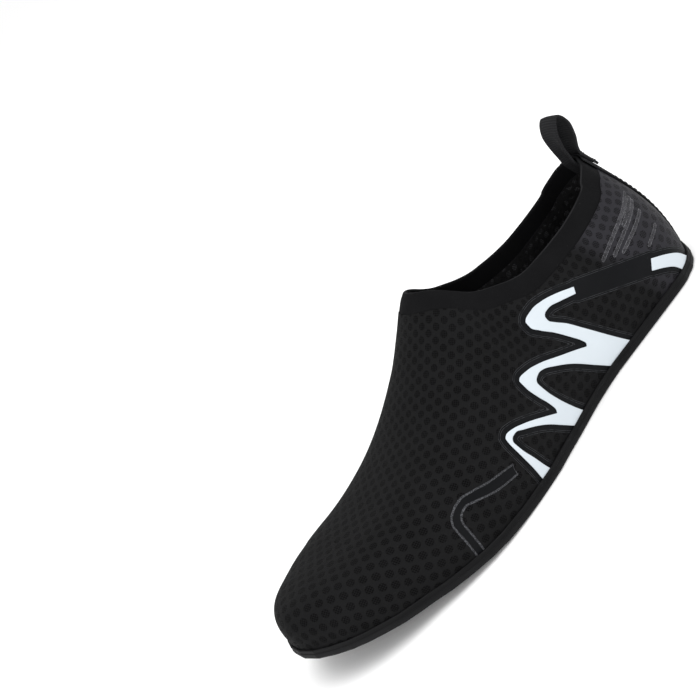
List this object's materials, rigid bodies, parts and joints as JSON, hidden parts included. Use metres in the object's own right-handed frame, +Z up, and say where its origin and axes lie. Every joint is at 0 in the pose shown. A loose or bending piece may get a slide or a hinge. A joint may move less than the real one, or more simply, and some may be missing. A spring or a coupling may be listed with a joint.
{
  "type": "water shoe",
  "caption": "Low slip-on water shoe for the left foot: knit upper, elastic collar, heel pull loop and a thin grooved rubber outsole.",
  "frame": {"origin": "middle of the underside of the bounding box, on the floor that the outsole stands on", "axes": "+X from the heel to the toe, +Y to the outer (lateral) side of this left shoe, +Z up"},
  "size_m": [0.2704, 0.095, 0.0933],
  "materials": {
    "outsole": "matte black moulded rubber",
    "insole": "dark cloth over foam",
    "upper": "black open knit with small holes",
    "collar": "smooth black elastic knit",
    "webbing": "ribbed black webbing",
    "film": "white film with a slight sheen"
  },
  "bodies": {
    "root": {"outsole": "outsole", "insole": "insole", "upper": "upper", "collar_band": "collar", "heel_tape": "webbing", "pull_loop": "webbing", "zigzag_film_lateral": "film", "zigzag_film_medial": "film", "heel_flash_lateral": "film", "heel_flash_medial": "film"}
  },
  "joints": []
}
